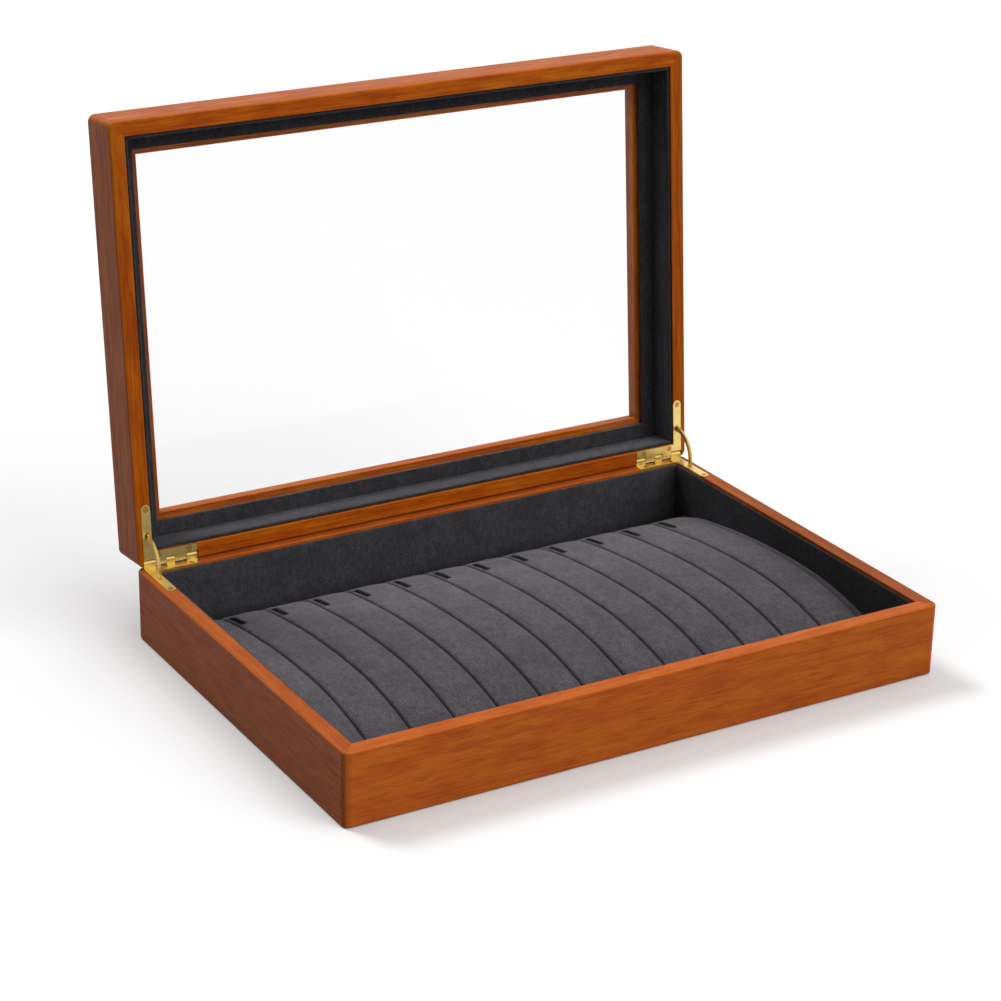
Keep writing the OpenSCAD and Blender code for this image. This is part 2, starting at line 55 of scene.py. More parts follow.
MM = 0.001
# places closer than this are the same
SAME = 1e-6
SIDES = ("front", "back", "left", "right")

Material = bpy.types.Material
Piece = bpy.types.Object
Socket = bpy.types.NodeSocket
Tree = bpy.types.NodeTree
Pair = tuple[float, float]
Triple = tuple[float, float, float]
Row = tuple[float, ...]
Colour = tuple[float, float, float, float]
EdgeTest = Callable[[Vector, Vector], bool]


# ---- Node helpers ----


class Pattern(NamedTuple):
    """Noise with blobs of a size in millimetres, spread so that low is 0 and high is 1."""

    size: Triple
    low: float
    high: float
    detail: float


def paint(code: str) -> Colour:
    """Turns an sRGB hex colour such as "#A9571F" into Blender's linear colour."""
    parts = (int(code[i : i + 2], 16) / 255 for i in (1, 3, 5))
    return (*(c / 12.92 if c <= 0.04045 else ((c + 0.055) / 1.055) ** 2.4 for c in parts), 1.0)


def put(
    tree: Tree, kind: str, inputs: dict | None = None, out: int | str = 0, **settings: object
) -> Socket | None:
    """Adds a node, sets its properties and fills or links its inputs.

    Args:
        tree: The node tree that gets the node.
        kind: Its type name after "ShaderNode".
        inputs: A socket or a value for each input, by name or number.
        out: The wanted output, by name or number.
        **settings: Properties of the node itself.

    Returns:
        That output, or None where the node has no outputs.
    """
    node = tree.nodes.new(f"ShaderNode{kind}")
    for name, value in settings.items():
        setattr(node, name, value)
    for key, value in (inputs or {}).items():
        if isinstance(value, Socket):
            tree.links.new(value, node.inputs[key])
        else:
            node.inputs[key].default_value = value
    return node.outputs[out] if node.outputs else None


def fresh_material(name: str) -> tuple[Material, Tree]:
    """Makes an empty node material.

    Args:
        name: The material's name.

    Returns:
        The material and its node tree.
    """
    material = bpy.data.materials.new(name)
    material.use_nodes = True
    material.node_tree.nodes.clear()
    return material, material.node_tree


def close(material: Material, surface: Socket) -> Material:
    """Links a shader to the material's output and returns the material."""
    put(material.node_tree, "OutputMaterial", {"Surface": surface})
    return material


def turned(tree: Tree, source: str, turn: Sequence[float]) -> Socket:
    """Turns one of the texture coordinates by Euler angles in degrees."""
    spot = {0: put(tree, "TexCoord", out=source), "Rotation": [math.radians(a) for a in turn]}
    return put(tree, "VectorRotate", spot, rotation_type="EULER_XYZ")


def millimetres(tree: Tree, turn: Sequence[float], shift: float) -> Socket:
    """Object coordinates in millimetres, turned so that x runs along the material.

    Args:
        tree: The material's node tree.
        turn: Euler angles in degrees.
        shift: Moves the pattern, so that no two pieces are cut from the same spot.

    Returns:
        The vector socket.
    """
    # the shares differ, so that the pattern moves across its own lines too
    moved = (shift, shift * 0.37, shift * 0.61)
    scaled = {0: turned(tree, "Object", turn), 1: (1 / MM,) * 3, 2: moved}
    return put(tree, "VectorMath", scaled, operation="MULTIPLY_ADD")


def speckle(tree: Tree, place: Socket, pattern: Pattern) -> Socket:
    """Lays a pattern on a material.

    Args:
        tree: The material's node tree.
        place: Coordinates in millimetres.
        pattern: The pattern.

    Returns:
        The value socket, from 0 to 1.
    """
    share = [1 / s for s in pattern.size]
    spot = put(tree, "VectorMath", {0: place, 1: share}, operation="MULTIPLY")
    cloud = {"Vector": spot, "Scale": 1.0, "Detail": pattern.detail, "Roughness": 0.6}
    value = put(tree, "TexNoise", cloud, out="Fac")
    spread = {"Value": value, "From Min": pattern.low, "From Max": pattern.high}
    return put(tree, "MapRange", spread, interpolation_type="SMOOTHSTEP")


def layered(tree: Tree, ground: Colour, *layers: tuple[Socket, float, Colour]) -> Socket:
    """Lays colours over one another where patterns say so.

    Args:
        tree: The material's node tree.
        ground: The lowest colour.
        *layers: Each layer's pattern, how much of it shows where that is 1, and its colour.

    Returns:
        The colour socket.
    """
    for pattern, amount, over in layers:
        share = put(tree, "Math", {0: pattern, 1: amount}, operation="MULTIPLY")
        # a Mix node's colours are its inputs 6 and 7, and its output 2
        ground = put(tree, "Mix", {0: share, 6: ground, 7: over}, out=2, data_type="RGBA")
    return ground


def relief(tree: Tree, height: Socket, depth_mm: float, strength: float) -> Socket:
    """A bump from a pattern, with the pattern's real depth in millimetres."""
    return put(tree, "Bump", {"Height": height, "Distance": depth_mm * MM, "Strength": strength})


# ---- Finishes ----


class GrainRun(Enum):
    """Which way a wooden piece's grain runs, as the turn that lays it along x."""

    ACROSS = (0.0, 0.0, 0.0)
    DEEP = (0.0, 0.0, -90.0)
    LID_ACROSS = (95.0, 0.0, 0.0)
    LID_DEEP = (95.0, 0.0, -90.0)


@dataclass(frozen=True)
class StainedRubberwood:
    """Rubberwood, planed, stained red-brown and sprayed with satin lacquer.

    The eye sees fine straight streaks, soft redder clouds and short dark pores, and a painted
    highlight along each arris. Rails differ in their figure, which is how strongly streaks and
    bands show, and in a factor on all their colours, which is partly their own tone and partly
    painted shade on the base's side rails.
    """

    name: str = "wood"
    run: GrainRun = GrainRun.ACROSS
    shift: float = 0.0
    stain: str = "#BE5E20"
    streak: str = "#8E3E16"
    cloud: str = "#9C3C16"
    band: str = "#D07C24"
    pore: str = "#521F0D"
    # painted highlight along the eased edges
    arris: str = "#CC6E28"
    figure: float = 0.5
    # a factor on all the wood's colours, which on the base's side rails also paints shade
    tone_and_shade: float = 0.75
    streaks: Pattern = Pattern((24, 0.95, 0.95), 0.38, 0.62, 4)
    bands: Pattern = Pattern((110, 3.4, 3.4), 0.4, 0.62, 3)
    clouds: Pattern = Pattern((22, 7, 7), 0.38, 0.72, 4)
    # pores are 0.1 mm wide on the real wood, drawn 0.5 mm wide so that they show
    pores: Pattern = Pattern((13.0, 0.5, 0.5), 0.56, 0.68, 1)
    # the grain wanders by about a millimetre over the length of a hand
    wander: Triple = (1 / 130, 1 / 45, 1 / 45)
    sway: Triple = (0.0, 5.0, 5.0)

    def material(self) -> Material:
        """Builds the wood's nodes.

        Returns:
            The material.
        """
        material, tree = fresh_material(self.name)
        place = millimetres(tree, self.run.value, self.shift)
        drift = put(tree, "VectorMath", {0: place, 1: self.wander}, operation="MULTIPLY")
        wave = put(tree, "TexNoise", {"Vector": drift, "Scale": 1.0}, out="Color")
        swung = {0: wave, 1: self.sway, 2: place}
        bent = put(tree, "VectorMath", swung, operation="MULTIPLY_ADD")
        streaks = speckle(tree, bent, self.streaks)
        pores = speckle(tree, bent, self.pores)
        colour = layered(
            tree,
            self._tone(self.stain),
            (streaks, 0.6 * self.figure, self._tone(self.streak)),
            (speckle(tree, bent, self.bands), 0.5 * self.figure, self._tone(self.band)),
            (speckle(tree, bent, self.clouds), 0.5, self._tone(self.cloud)),
            (pores, 0.32, self._tone(self.pore)),
            # painted highlight on the eased edges
            (self._edge_highlight_mask(tree), 0.5, self._tone(self.arris)),
        )
        raised = put(tree, "Math", {0: streaks, 1: pores}, operation="ADD")
        lacquer = {
            "Base Color": colour,
            "Roughness": put(tree, "MapRange", {"Value": streaks, "To Min": 0.4, "To Max": 0.5}),
            "Normal": relief(tree, raised, depth_mm=-0.05, strength=0.35),
            "Coat Weight": 0.05,
            "Coat Roughness": 0.25,
            "Specular IOR Level": 0.06,
        }
        return close(material, put(tree, "BsdfPrincipled", lacquer))

    def _tone(self, code: str) -> Colour:
        """One colour of the wood, scaled by this rail's tone and any painted shade."""
        red, green, blue, alpha = paint(code)
        return (red * self.tone_and_shade, green * self.tone_and_shade, blue * self.tone_and_shade, alpha)

    def _edge_highlight_mask(self, tree: Tree) -> Socket:
        """Finds the eased edges for the painted highlight from how far the surface leans off
        square.

        Args:
            tree: The material's node tree.

        Returns:
            The value socket, 0 on a flat face and 1 on an arris.
        """
        lean = turned(tree, "Normal", self.run.value)
        sides = put(tree, "VectorMath", {0: lean}, operation="ABSOLUTE")
        largest, *rest = put(tree, "SeparateXYZ", {0: sides}).node.outputs
        for side in rest:
            largest = put(tree, "Math", {0: largest, 1: side}, operation="MAXIMUM")
        # a face is flat where its normal lies 0.99 along an axis, and an arris below 0.8
        return put(tree, "MapRange", {"Value": largest, "From Min": 0.99, "From Max": 0.8})


@dataclass(frozen=True)
class MicrofibreSuede:
    """Charcoal microfibre suede: a short nap laid by a brush, mottled where hands have turned it.

    Its bloom is how strongly the tips of the nap show pale; the lower bloom on the base's right
    wall is part of that wall's painted shade.
    """

    name: str
    shift: float
    ground: str = "#3B383B"
    fibre: str = "#656165"
    turned: str = "#343134"
    # painted shade: the near-black laid in the grooves, at the slots' rims and on the slot walls
    deep: str = "#050505"
    tips: str = "#B9B6C0"
    bloom: float = 0.16
    # single fibres are 0.01 mm wide, so the nap is drawn as tufts of half a millimetre
    tufts: Pattern = Pattern((0.62, 0.62, 0.62), 0.34, 0.66, 4)
    strokes: Pattern = Pattern((2.6, 4.2, 4.2), 0.38, 0.64, 3)
    patches: Pattern = Pattern((15, 21, 18), 0.38, 0.64, 2)

    def material(self) -> Material:
        """Builds the suede's nodes.

        Returns:
            The material.
        """
        material, tree = fresh_material(self.name)
        place = millimetres(tree, (0, 0, 0), self.shift)
        tufts = speckle(tree, place, self.tufts)
        # painted shade: darker in the grooves, at the slots' rims and on the slot walls, where the
        # light doesn't reach
        painted_crease_shade = put(tree, "Attribute", out="Fac", attribute_name="painted_crease_shade")
        colour = layered(
            tree,
            paint(self.ground),
            (tufts, 0.75, paint(self.fibre)),
            (speckle(tree, place, self.strokes), 0.42, paint(self.turned)),
            (speckle(tree, place, self.patches), 0.34, paint(self.turned)),
            (painted_crease_shade, 1.0, paint(self.deep)),
        )
        nap = {
            "Base Color": colour,
            "Roughness": 0.95,
            "Specular IOR Level": 0.12,
            "Sheen Weight": self.bloom,
            "Sheen Roughness": 0.5,
            "Sheen Tint": paint(self.tips),
            "Normal": relief(tree, tufts, depth_mm=0.12, strength=0.5),
        }
        return close(material, put(tree, "BsdfPrincipled", nap))


@dataclass(frozen=True)
class LacqueredBrass:
    """Yellow brass, stamped or turned, buffed and lacquered.

    The eye sees soft bright reflections with fine rubbing marks, over a little of the brass's
    own yellow from the lacquer, which is why it isn't wholly metallic.
    """

    name: str
    shift: float
    metal: str = "#F8DC88"
    worn: str = "#D2A846"
    low: float = 0.3
    high: float = 0.38
    marks: Pattern = Pattern((2.5, 0.3, 0.5), 0.4, 0.7, 3)
    tarnish: Pattern = Pattern((4, 4, 4), 0.42, 0.75, 3)

    def material(self) -> Material:
        """Builds the brass's nodes.

        Returns:
            The material.
        """
        material, tree = fresh_material(self.name)
        place = millimetres(tree, (0, 0, 0), self.shift)
        marks = speckle(tree, place, self.marks)
        tarnish = speckle(tree, place, self.tarnish)
        span = {"Value": marks, "To Min": self.low, "To Max": self.high}
        buffed = {
            "Base Color": layered(tree, paint(self.metal), (tarnish, 0.35, paint(self.worn))),
            "Metallic": 0.92,
            "Roughness": put(tree, "MapRange", span),
            "Normal": relief(tree, marks, depth_mm=0.008, strength=0.12),
        }
        return close(material, put(tree, "BsdfPrincipled", buffed))


@dataclass(frozen=True)
class FloatGlass:
    """Clear 2 mm float glass, which lets the lamps through to what lies under it."""

    name: str
    tint: str = "#FFFFFF"
    ior: float = 1.5

    def material(self) -> Material:
        """Builds the glass's nodes.

        Returns:
            The material.
        """
        material, tree = fresh_material(self.name)
        tint = paint(self.tint)
        pane = {"Base Color": tint, "Roughness": 0.0, "IOR": self.ior, "Transmission Weight": 1.0}
        glass = put(tree, "BsdfPrincipled", pane)
        clear = put(tree, "BsdfTransparent", {0: tint})
        lamp = put(tree, "LightPath", out="Is Shadow Ray")
        return close(material, put(tree, "MixShader", {0: lamp, 1: glass, 2: clear}))


@dataclass(frozen=True)
class PressedFibre:
    """Felt, foam or raw board: a dull ground with a lighter fleck of a given size."""

    name: str
    ground: str
    fleck: str
    fleck_mm: float
    depth_mm: float
    drifts: Pattern = Pattern((24, 24, 24), 0.35, 0.7, 2)

    def material(self) -> Material:
        """Builds the fibre's nodes.

        Returns:
            The material.
        """
        material, tree = fresh_material(self.name)
        place = millimetres(tree, (0, 0, 0), shift=11.0)
        ground = paint(self.ground)
        flecks = speckle(tree, place, Pattern((self.fleck_mm,) * 3, 0.35, 0.68, 3))
        drifts = speckle(tree, place, self.drifts)
        fleck = paint(self.fleck)
        fibre = {
            "Base Color": layered(tree, ground, (flecks, 0.7, fleck), (drifts, 0.25, ground)),
            "Roughness": 0.95,
            "Specular IOR Level": 0.2,
            "Normal": relief(tree, flecks, self.depth_mm, strength=0.6),
        }
        return close(material, put(tree, "BsdfPrincipled", fibre))


def dress(node: str, material: Material) -> None:
    """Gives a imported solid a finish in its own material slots."""
    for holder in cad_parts[node].material_slots:
        holder.material = material


# ---- Modelling helpers ----


def ramp(value: float, low: float, high: float) -> float:
    """Rises smoothly from 0 at low to 1 at high."""
    share = min(1.0, max(0.0, (value - low) / (high - low)))
    return share * share * (3 - 2 * share)


def bell(distance: float, height: float, width: float) -> float:
    """Falls smoothly from a height at no distance to almost nothing past two widths."""
    return height * math.exp(-((distance / width) ** 2))


def between(places: Sequence[float], values: Sequence[float], at: float) -> float:
    """Reads a row of values between the places it is given for.

    Args:
        places: The places, rising.
        values: The value at each.
        at: The wanted place.

    Returns:
        The value there.
    """
    i = max(0, min(len(places) - 2, bisect(places, at) - 1))
    share = min(1.0, max(0.0, (at - places[i]) / (places[i + 1] - places[i])))
    return values[i] * (1 - share) + values[i + 1] * share


def clear_selection() -> None:
    """Leaves edit mode and deselects every object."""
    if bpy.context.object and bpy.context.object.mode != "OBJECT":
        bpy.ops.object.mode_set(mode="OBJECT")
    bpy.ops.object.select_all(action="DESELECT")


def select_only(thing: Piece) -> None:
    """Selects one object and makes it the one that operators act on.

    Args:
        thing: The object.
    """
    clear_selection()
    thing.select_set(True)
    bpy.context.view_layer.objects.active = thing


def grid(wide: int, deep: int) -> dict[tuple[int, int], tuple[int, ...]]:
    """Numbers the corners of each cell between rows of points."""
    return {
        (i, j): (j * wide + i, j * wide + i + 1, (j + 1) * wide + i + 1, (j + 1) * wide + i)
        for j in range(deep - 1)
        for i in range(wide - 1)
    }


def add_object(name: str, data: bpy.types.ID) -> Piece:
    """Makes an object of a mesh, a lamp or a camera.

    Args:
        name: The object's name.
        data: What it shows.

    Returns:
        The object, in the scene.
    """
    thing = bpy.data.objects.new(name, data)
    bpy.context.scene.collection.objects.link(thing)
    return thing


def pick_edges(wanted: EdgeTest) -> None:
    """Selects edges of the object in edit mode.

    Args:
        wanted: Says from an edge's two ends whether it is selected.
    """
    bpy.ops.mesh.select_mode(type="EDGE")
    bpy.ops.mesh.select_all(action="DESELECT")
    shape = bmesh.from_edit_mesh(bpy.context.object.data)
    for edge in shape.edges:
        edge.select_set(wanted(edge.verts[0].co, edge.verts[1].co))
    shape.select_flush_mode()
    bmesh.update_edit_mesh(bpy.context.object.data)


def along(axis: int) -> EdgeTest:
    """Says whether an edge runs along an axis."""
    return lambda a, b: abs((b - a).normalized()[axis]) > 0.999


def face_outwards() -> None:
    """Makes every face of the object in edit mode point outwards."""
    bpy.ops.mesh.select_all(action="SELECT")
    bpy.ops.mesh.normals_make_consistent()


def smooth(thing: Piece, degrees: float) -> None:
    """Shades an object smooth, apart from edges sharper than an angle."""
    select_only(thing)
    bpy.ops.object.shade_smooth_by_angle(angle=math.radians(degrees))


def box_of(node: str, turn: Matrix) -> tuple[Vector, ...]:
    """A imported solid's lowest and highest corners, after a turn that squares it up."""
    points = [turn @ v.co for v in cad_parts[node].data.vertices]
    return tuple(Vector([end(p[i] for p in points) for i in range(3)]) for end in (min, max))


@dataclass
class CoveredBoard:
    """A board wrapped in suede, which softens its edges and lifts a little off its face."""

    name: str
    node: str
    body: str
    slot: str = "lining_suede"
    turn: Matrix = field(default_factory=lambda: Matrix.Identity(4))
    free_side: int = 1
    free_edge: float = 0.75 * MM
    other_edge: float = 0.25 * MM
    lift: float = 0.09 * MM
    step: float = 6 * MM
    most_cuts: int = 60
    # the lengths of the suede's broad and fine waves, and their shares of the lift
    waves: tuple[Pair, ...] = ((9 * MM, 0.7), (2.6 * MM, 0.3))

    def build(self, material: Material) -> Piece:
        """Models the board in its solid's place.

        Args:
            material: The suede.

        Returns:
            The finished piece, riding on its body.
        """
        low, high = box_of(self.node, self.turn)
        clear_selection()
        bpy.ops.mesh.primitive_cube_add(size=1, location=(low + high) / 2)
        board = bpy.context.object
        board.name = self.name
        board.scale = high - low
        bpy.ops.object.transform_apply()
        self._shape(low, high)
        self._ripple(board, (low + high) / 2)
        board.data.transform(self.turn.inverted())
        board.data.materials.append(material)
        smooth(board, degrees=50)
        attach(board, self.body)
        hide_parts(self.node)
        return board

    def _shape(self, low: Vector, high: Vector) -> None:
        """Divides the long faces and rounds the wrapped edges.

        Args:
            low: The board's lowest corner.
            high: Its highest corner.
        """
        edge_z = high.z if self.free_side > 0 else low.z

        def on_rim(a: Vector, b: Vector) -> bool:
            """Says whether an edge lies where two of the board's faces meet."""
            shared = sum(
                abs(a[i] - end[i]) < SAME and abs(b[i] - end[i]) < SAME
                for i in range(3)
                for end in (low, high)
            )
            return shared >= 2

        def is_free(a: Vector, b: Vector) -> bool:
            """Says whether an edge goes round the board's free side."""
            return on_rim(a, b) and max(abs(a.z - edge_z), abs(b.z - edge_z)) < SAME

        bpy.ops.object.mode_set(mode="EDIT")
        for axis in range(3):
            cuts = min(self.most_cuts, int((high - low)[axis] / self.step))
            if cuts:
                pick_edges(along(axis))
                bpy.ops.mesh.subdivide(number_cuts=cuts)
        pick_edges(is_free)
        bpy.ops.mesh.bevel(offset=self.free_edge, segments=3)
        pick_edges(on_rim)
        bpy.ops.mesh.bevel(offset=self.other_edge, segments=2)
        bpy.ops.object.mode_set(mode="OBJECT")

    def _ripple(self, board: Piece, centre: Vector) -> None:
        """Lets the suede sink unevenly, never beyond the board's own box.

        Args:
            board: The piece.
            centre: The middle of its box.
        """
        for vertex in board.data.vertices:
            pull = self.lift * sum(
                share * (0.5 + 0.5 * noise.noise(vertex.co / length))
                for length, share in self.waves
            )
            for axis in range(3):
                lean = vertex.co[axis] - centre[axis]
                if abs(lean) > pull:
                    vertex.co[axis] -= math.copysign(pull, lean)


# ---- Sub-assemblies ----


@dataclass
class RailedFrame:
    """Four mitred rails, in the order of SIDES, each its own cut of one wood."""

    body: str
    wood: StainedRubberwood
    # the grain of the front and back rails, and of the left and right rails
    runs: tuple[GrainRun, GrainRun]
    tones_and_shades: Row
    # where in the plank the first cut lies, and how far apart two cuts lie
    shifts: Pair

    def dress_rails(self) -> None:
        """Gives the rails their wood."""
        start, step = self.shifts
        for i, (side, tone_and_shade) in enumerate(zip(SIDES, self.tones_and_shades, strict=True)):
            node = f"{self.body}_rail_{side}"
            run, shift = self.runs[i // 2], start + step * i
            cut = replace(self.wood, name=f"wood_{node}", run=run, shift=shift, tone_and_shade=tone_and_shade)
            dress(node, cut.material())


@dataclass
class Carcass(RailedFrame):
    """The base: four mitred walls, the floor and its linings."""

    body: str = "base"
    wood: StainedRubberwood = StainedRubberwood()
    runs: tuple[GrainRun, GrainRun] = (GrainRun.ACROSS, GrainRun.DEEP)
    # the left and right rails are darker partly in tone and partly as painted shade, for the left
    # outer face and the side rims
    tones_and_shades: Row = (0.84, 0.75, 0.69, 0.52)
    shifts: Pair = (0.0, 61.0)
    # painted shade: the walls' suede is a darker copy of the pad's, for the shade inside the box
    suede: MicrofibreSuede = MicrofibreSuede(
        "suede_base_walls_shaded", 7.0, "#2D2B2E", "#4F4D50", "#252426"
    )
    # painted shade: the right wall's suede is a darker copy with less bloom, for the shade it
    # stands in
    shaded_right_suede: MicrofibreSuede = MicrofibreSuede(
        "suede_base_right_shaded", 7.0, "#1F1D20", "#363437", "#1A191B", bloom=0.05
    )
    board: PressedFibre = PressedFibre("raw_fibreboard", "#6E5238", "#9A7A55", 1.2, 0.05)
    felt: PressedFibre = PressedFibre("black_felt", "#17171A", "#2E2D31", 0.9, 0.2)

    def build(self) -> list[Piece]:
        """Dresses the walls and the floor and models the linings and the felt.

        Returns:
            The modelled pieces.
        """
        self.dress_rails()
        dress("floor_panel", self.board.material())
        suede, shaded_right_suede = self.suede.material(), self.shaded_right_suede.material()
        dress("floor_lining", suede)
        # the right wall takes the darker copy of the suede, as painted shade
        made = [
            CoveredBoard(f"suede_wall_{side}", f"base_lining_{side}", self.body).build(
                shaded_right_suede if side == "right" else suede
            )
            for side in SIDES
        ]
        return [*made, self._felt()]

    def _felt(self) -> Piece:
        """Models the felt under the floor.

        Returns:
            The finished piece, riding on the base.
        """
        edges = {"free_edge": 0.2 * MM, "other_edge": 0.2 * MM, "lift": 0.04 * MM}
        board = CoveredBoard("felt_sheet", "underside_felt", self.body, "felt", **edges)
        sheet = board.build(self.felt.material())
        return sheet


# the trial sheet is light and soft, and cut a little larger than the pad
TRIAL_CLOTH = {
    "vertex_group_mass": "seams",
    "quality": 6,
    "mass": 0.3,
    "tension_stiffness": 8,
    "compression_stiffness": 8,
    "bending_stiffness": 0.02,
    "shrink_min": -0.012,
}


@dataclass
class SuedePad:
    """The arched pad: thirteen padded lanes with twelve slots along their far ends.

    Its sizes are in millimetres until its mesh is made.
    """

    body: str = "base"
    crown: Pair = (-14.5, 26.1)
    bed: float = 4.8
    foot_y: float = -107.5
    shoulder_y: float = 83.0
    shoulder_drop: float = 9.2
    shoulder_r: float = 50.0
    shoulder_bend: float = 3.0
    half_width: float = 164.2
    pitch: float = 24.9
    cover: float = 2.05
    thinnest: float = 0.3
    slot_off: float = 3.9
    slot_half: Pair = (1.6, 8.8)
    slot_r: float = 0.8
    slot_y: float = 78.6
    # the grooves, which grow wider and deeper by a share between two places along y
    groove_depth: float = 1.35
    groove_half: float = 0.62
    groove_growth: Pair = (0.9, 0.35)
    groove_growth_y: Pair = (78, 99)
    # the last strip, which lies lower and is hollow between four places along y
    strip_drop: float = 0.9
    strip_step: float = 0.8
    hollow: float = 0.5
    hollow_y: tuple[float, float, float, float] = (30, 62, 94, 104)
    # what the stitches, the slots' rims and the hems pull down: a depth and a width
    seam_pull: Pair = (0.3, 2.6)
    rim_pull: Pair = (0.55, 0.2)
    rim_roll: Pair = (0.2, 0.4)
    rim_roll_at: float = 0.65
    rim_reach: float = 3.0
    hem_pulls: tuple[Pair, ...] = ((1.0, 0.5), (0.25, 1.6))
    # how dark the painted shade in the grooves and at the slots' rims is, and how far it reaches
    seam_shades: tuple[Pair, ...] = ((0.72, 0.75), (0.12, 2.2))
    rim_shade: Pair = (1.0, 0.14)
    # the wadding's rise, its slow unevenness, and the trial sheet that gives its form
    plump: float = 0.55
    uneven: float = 0.14
    uneven_size: Pair = (19, 26)
    cells: tuple[int, int] = (6, 50)
    slot_hold: float = 1.2
    frames: int = 24
    full_sag: float = 0.97
    # how far the mesh lines lie from the hems, grooves, rims and feet, and across the lanes
    hem_lines: Row = (0, 0.2, 0.55, 1.1, 2)
    groove_lines: Row = (0, 0.2, 0.42, 0.68, 1.0)
    before_groove: Row = (1.5, 2.3, 3.6)
    rim_lines: Row = (0, 0.16, 0.4, 0.75)
    foot_lines: Row = (0, 0.25, 0.6, 1.2, 2.2)
    back_lines: Row = (0, 0.2, 0.6)
    lane_lines: Row = (5.6, 7.8, 10, 12.2, 14.4)
    plain_lines: Row = (1.5, 2.3, 6.2, 8.6, 11, 13.4, 15.8, 18.2)
    closest: float = 0.09

    def build(self) -> Piece:
        """Dresses the pad's core and models its cover.

        Returns:
            The finished piece, riding on the base.
        """
        foam = PressedFibre("dark_foam", "#060607", "#101011", 0.7, 0.3)
        dress("pad_core", foam.material())
        xs, ys = self._x_lines(), self._y_lines()
        cover = self._shell(xs, ys, self._swell(xs, ys))
        cover.data.materials.append(MicrofibreSuede("suede_pad_cover", 0.0).material())
        smooth(cover, degrees=75)
        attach(cover, self.body)
        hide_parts("pad_cover")
        return cover

    def grooves(self) -> list[float]:
        """The places of the grooves along x."""
        count = int(2 * self.half_width / self.pitch)
        return [-self.half_width + (k + 1) * self.pitch for k in range(count)]

    def slots(self) -> list[float]:
        """The places of the slots' centre lines along x."""
        return [g + self.slot_off for g in self.grooves()[:-1]]

    def _groove_gap(self, x: float) -> float:
        """Distance from the nearest groove."""
        return min(abs(x - g) for g in self.grooves())

    def _nearest_slot(self, x: float) -> float:
        """Centre line of the nearest slot."""
        return min(self.slots(), key=lambda s: abs(s - x))

    def _x_lines(self) -> list[float]:
        """Finds the mesh lines along x, close together where the surface turns.

        Returns:
            Their places.
        """
        half, near = self.slot_half[0], self.slot_r
        grooves = self.grooves()
        marks = {-self.half_width + d for d in (*self.hem_lines, 4)}
        marks |= {self.half_width - d for d in self.hem_lines}
        for x in grooves:
            marks |= {x + s * d for d in self.groove_lines for s in (-1, 1)}
            marks |= {x - d for d in self.before_groove}
        for x in self.slots():
            marks |= {x - half - d for d in self.rim_lines}
            marks |= {x - half + near, x, x + half - near}
            marks |= {x + half + d for d in (*self.rim_lines, 1.3, 2.2)}
            marks |= {x + d for d in self.lane_lines}
        for x in (-self.half_width, grooves[-1]):
            marks |= {x + d for d in self.plain_lines}
        return self._thinned(marks, -self.half_width, self.half_width)

    def _y_lines(self) -> list[float]:
        """Finds the mesh lines from the front foot to the far edge.

        Returns:
            Their places.
        """
        half, near, back = self.slot_half[1], self.slot_r, self._back_y()
        low, high = self.slot_y - half, self.slot_y + half
        marks = {self.foot_y + d for d in self.foot_lines}
        marks |= self._even(self.foot_y + 4.4, low - 2.4, step=2.6)
        for d in (*self.rim_lines, 1.4):
            marks |= {low - d, high + d}
        marks |= {low + near, high - near}
        marks |= {low + near + i * (2 * half - 2 * near) / 6 for i in range(1, 6)}
        marks |= self._even(high + 2.6, back - 1.4, step=1.5)
        marks |= {back - d for d in self.back_lines}
        return self._thinned(marks, self.foot_y, back)

    @staticmethod
    def _even(start: float, stop: float, step: float) -> set[float]:
        """Marks places a step apart, from a start to before a stop."""
        return {start + i * step for i in range(math.ceil((stop - start) / step))}

    def _thinned(self, marks: set[float], low: float, high: float) -> list[float]:
        """Sorts marks between two ends and drops those that nearly coincide.

        Args:
            marks: The places.
            low: The lower end.
            high: The upper end.

        Returns:
            The places that are kept.
        """
        kept: list[float] = []
        for mark in sorted(m for m in marks if low <= m <= high):
            if not kept or mark - kept[-1] > self.closest:
                kept.append(mark)
        return kept

    def _arc(self, y: float) -> float:
        """Finds the height of the plain pad, without its grooves and wadding.

        Args:
            y: The place along y.

        Returns:
            The height.
        """
        crown_y, crown_z = self.crown
        if y <= crown_y:
            run, rise = crown_y - self.foot_y, crown_z - self.bed
        else:
            run, rise = self.shoulder_y - crown_y, self.shoulder_drop
        radius = (run * run + rise * rise) / (2 * rise)
        if y <= self.shoulder_y:
            return crown_z - radius + math.sqrt(radius**2 - (y - crown_y) ** 2)
        centre_y, centre_z = self._shoulder()
        return centre_z + math.sqrt(max(self.shoulder_r**2 - (y - centre_y) ** 2, 0.0))

    def _shoulder(self) -> Pair:
        """Finds the centre of the shoulder's arc.

        Returns:
            Its places along y and z.
        """
        run = self.shoulder_y - self.crown[0]
        radius = (run**2 + self.shoulder_drop**2) / (2 * self.shoulder_drop)
        tilt = math.asin(run / radius) + math.radians(self.shoulder_bend)
        return (
            self.shoulder_y - self.shoulder_r * math.sin(tilt),
            self.crown[1] - self.shoulder_drop - self.shoulder_r * math.cos(tilt),
        )

    def _back_y(self) -> float:
        """Where the shoulder comes down to the floor's card."""
        centre_y, centre_z = self._shoulder()
        return centre_y + math.sqrt(self.shoulder_r**2 - (self.bed - centre_z) ** 2)

    def _slot_gap(self, x: float, y: float) -> float:
        """Measures how far a place is from the nearest slot's rim.

        Args:
            x: The place along x.
            y: The place along y.

        Returns:
            The distance, less than 0 inside the slot.
        """
        dx = abs(x - self._nearest_slot(x)) - self.slot_half[0] + self.slot_r
        dy = abs(y - self.slot_y) - self.slot_half[1] + self.slot_r
        outside = math.hypot(max(dx, 0.0), max(dy, 0.0))
        return outside + min(max(dx, dy), 0.0) - self.slot_r

